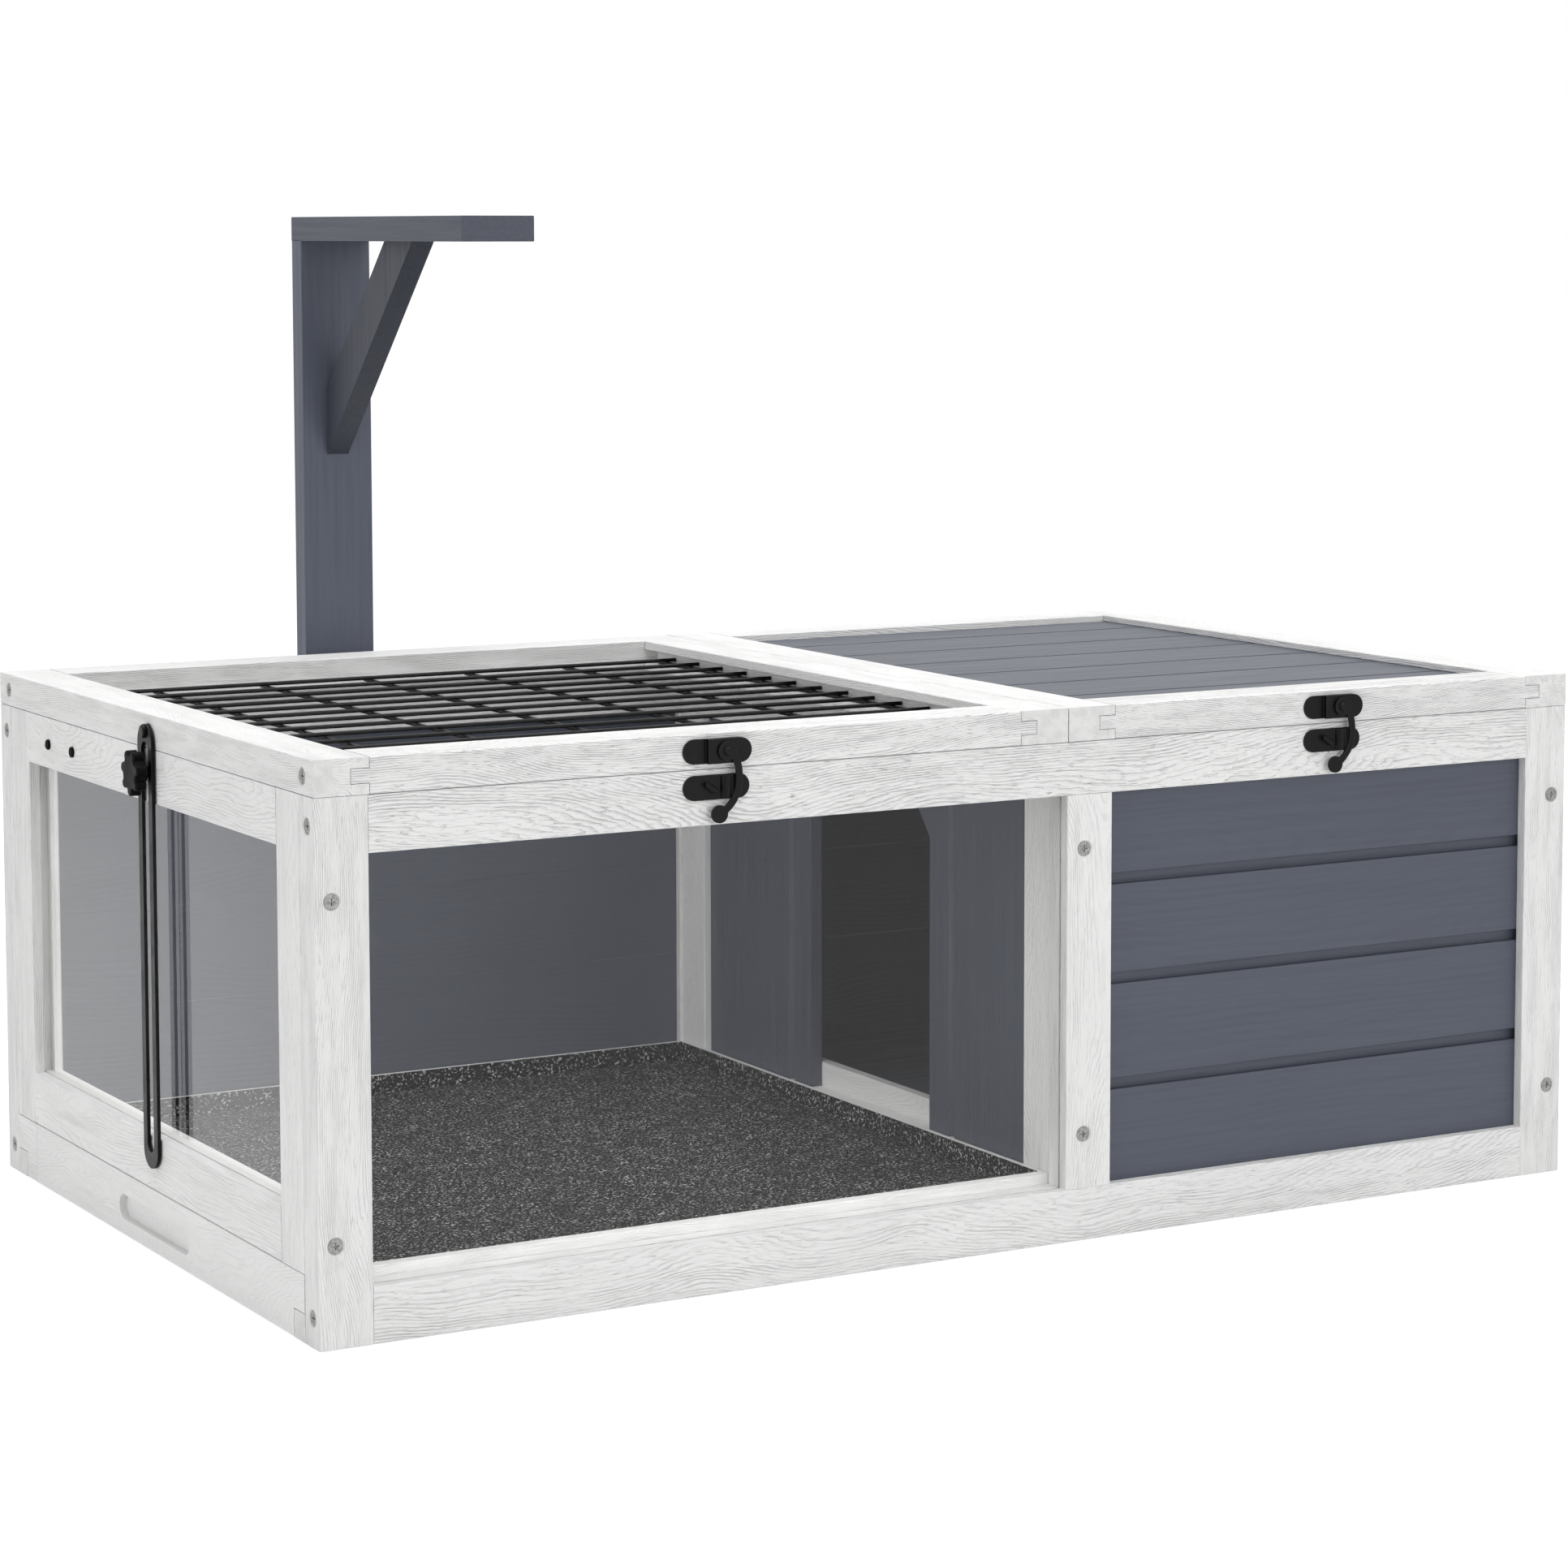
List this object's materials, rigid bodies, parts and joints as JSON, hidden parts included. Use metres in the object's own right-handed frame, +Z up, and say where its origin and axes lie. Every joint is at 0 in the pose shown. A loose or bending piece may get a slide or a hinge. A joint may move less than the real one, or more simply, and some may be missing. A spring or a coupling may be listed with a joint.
{
  "type": "tortoise house",
  "caption": "Low two-room timber tortoise house with a glazed open room under a hinged wire lid, a closed room under a board lid, a pull-out floor tray and a lamp arm.",
  "frame": {"origin": "centre of the bounding box on the ground", "axes": "+X along the house with the open room on -X, +Y from front to back, +Z up"},
  "size_m": [1.03, 0.6514, 0.7132],
  "materials": {
    "white_painted_wood": "satin paint over planed softwood",
    "grey_painted_wood": "satin paint over planed softwood",
    "clear_sheet": "clear polished sheet",
    "speckled_liner": "dark sheet with pale speckles",
    "coated_wire": "black coating, satin",
    "black_hardware": "black, slightly worn",
    "screw_steel": "zinc plated",
    "black_plastic": "moulded",
    "black_rubber": "moulded"
  },
  "bodies": {
    "house": {"front_stiles": "white_painted_wood", "front_stile_centre": "white_painted_wood", "front_rail_top": "white_painted_wood", "front_rail_bottom": "white_painted_wood", "front_pane": "clear_sheet", "front_boards": "grey_painted_wood", "back_stiles": "white_painted_wood", "back_rails": "white_painted_wood", "back_boards": "grey_painted_wood", "left_stiles": "white_painted_wood", "left_rail_top": "white_painted_wood", "left_rail_bottom": "white_painted_wood", "left_pane": "clear_sheet", "right_stiles": "white_painted_wood", "right_rails": "white_painted_wood", "right_boards": "grey_painted_wood", "partition_posts": "white_painted_wood", "partition_rail_top": "white_painted_wood", "partition_sill": "white_painted_wood", "partition_boards": "grey_painted_wood", "chamber_floor": "grey_painted_wood", "floor_battens": "white_painted_wood", "box_hinge_leaves": "black_hardware", "hinge_pins": "black_hardware", "latch_keepers": "black_hardware", "stay_studs": "black_hardware", "frame_screws": "screw_steel", "vent_plugs": "black_rubber", "lamp_cleats": "grey_painted_wood", "lamp_post": "grey_painted_wood", "lamp_arm": "grey_painted_wood", "lamp_brace": "grey_painted_wood"},
    "left_lid": {"left_lid_side_rails": "white_painted_wood", "left_lid_front_rail": "white_painted_wood", "left_lid_back_rail": "white_painted_wood", "wire_mesh": "coated_wire", "left_lid_hinge_leaves": "black_hardware", "left_latch_plate": "black_hardware", "left_stay_pivot": "black_hardware", "left_lid_screws": "screw_steel"},
    "right_lid": {"right_lid_side_rails": "white_painted_wood", "right_lid_front_rail": "white_painted_wood", "right_lid_back_rail": "white_painted_wood", "right_lid_boards": "grey_painted_wood", "right_lid_hinge_leaves": "black_hardware", "right_latch_plate": "black_hardware", "right_stay_pivot": "black_hardware", "right_lid_screws": "screw_steel"},
    "left_stay": {"left_stay": "black_hardware"},
    "right_stay": {"right_stay": "black_hardware"},
    "left_knob": {"left_knob": "black_plastic"},
    "right_knob": {"right_knob": "black_plastic"},
    "left_hook": {"left_latch_hook": "black_hardware"},
    "right_hook": {"right_latch_hook": "black_hardware"},
    "tray": {"tray_fascia": "white_painted_wood", "tray_end_block": "white_painted_wood", "tray_side_boards": "white_painted_wood", "tray_end_board": "white_painted_wood", "tray_bottom": "grey_painted_wood", "tray_liner": "speckled_liner"}
  },
  "joints": [
    {"name": "left_lid_hinge", "type": "hinge", "parent": "house", "child": "left_lid", "pos_m": [-0.2204, 0.28605, 0.351], "axis": [-1, 0, 0], "range_deg": [0, 45]},
    {"name": "right_lid_hinge", "type": "hinge", "parent": "house", "child": "right_lid", "pos_m": [0.28, 0.28605, 0.351], "axis": [-1, 0, 0], "range_deg": [0, 48]},
    {"name": "left_stay_swing", "type": "hinge", "parent": "left_lid", "child": "left_stay", "pos_m": [-0.5022, -0.03045, 0.3631], "axis": [-1, 0, 0], "range_deg": [-25, 0]},
    {"name": "right_stay_swing", "type": "hinge", "parent": "right_lid", "child": "right_stay", "pos_m": [0.5022, -0.03045, 0.3631], "axis": [-1, 0, 0], "range_deg": [-25, 0]},
    {"name": "left_knob_turn", "type": "hinge", "parent": "house", "child": "left_knob", "pos_m": [-0.51, -0.03045, 0.3354], "axis": [-1, 0, 0], "continuous": true},
    {"name": "right_knob_turn", "type": "hinge", "parent": "house", "child": "right_knob", "pos_m": [0.51, -0.03045, 0.3354], "axis": [1, 0, 0], "continuous": true},
    {"name": "left_hook_swing", "type": "hinge", "parent": "left_lid", "child": "left_hook", "pos_m": [-0.2107, -0.32315, 0.3631], "axis": [0, -1, 0], "range_deg": [0, 75]},
    {"name": "right_hook_swing", "type": "hinge", "parent": "right_lid", "child": "right_hook", "pos_m": [0.2897, -0.32315, 0.3631], "axis": [0, -1, 0], "range_deg": [0, 75]},
    {"name": "tray_slide", "type": "slide", "parent": "house", "child": "tray", "axis": [-1, 0, 0], "range_m": [0, 0.5]}
  ],
  "couplings": [
    {"joint": "left_stay_swing", "follows": "left_lid_hinge", "ratio": -0.508},
    {"joint": "right_stay_swing", "follows": "right_lid_hinge", "ratio": -0.508}
  ]
}
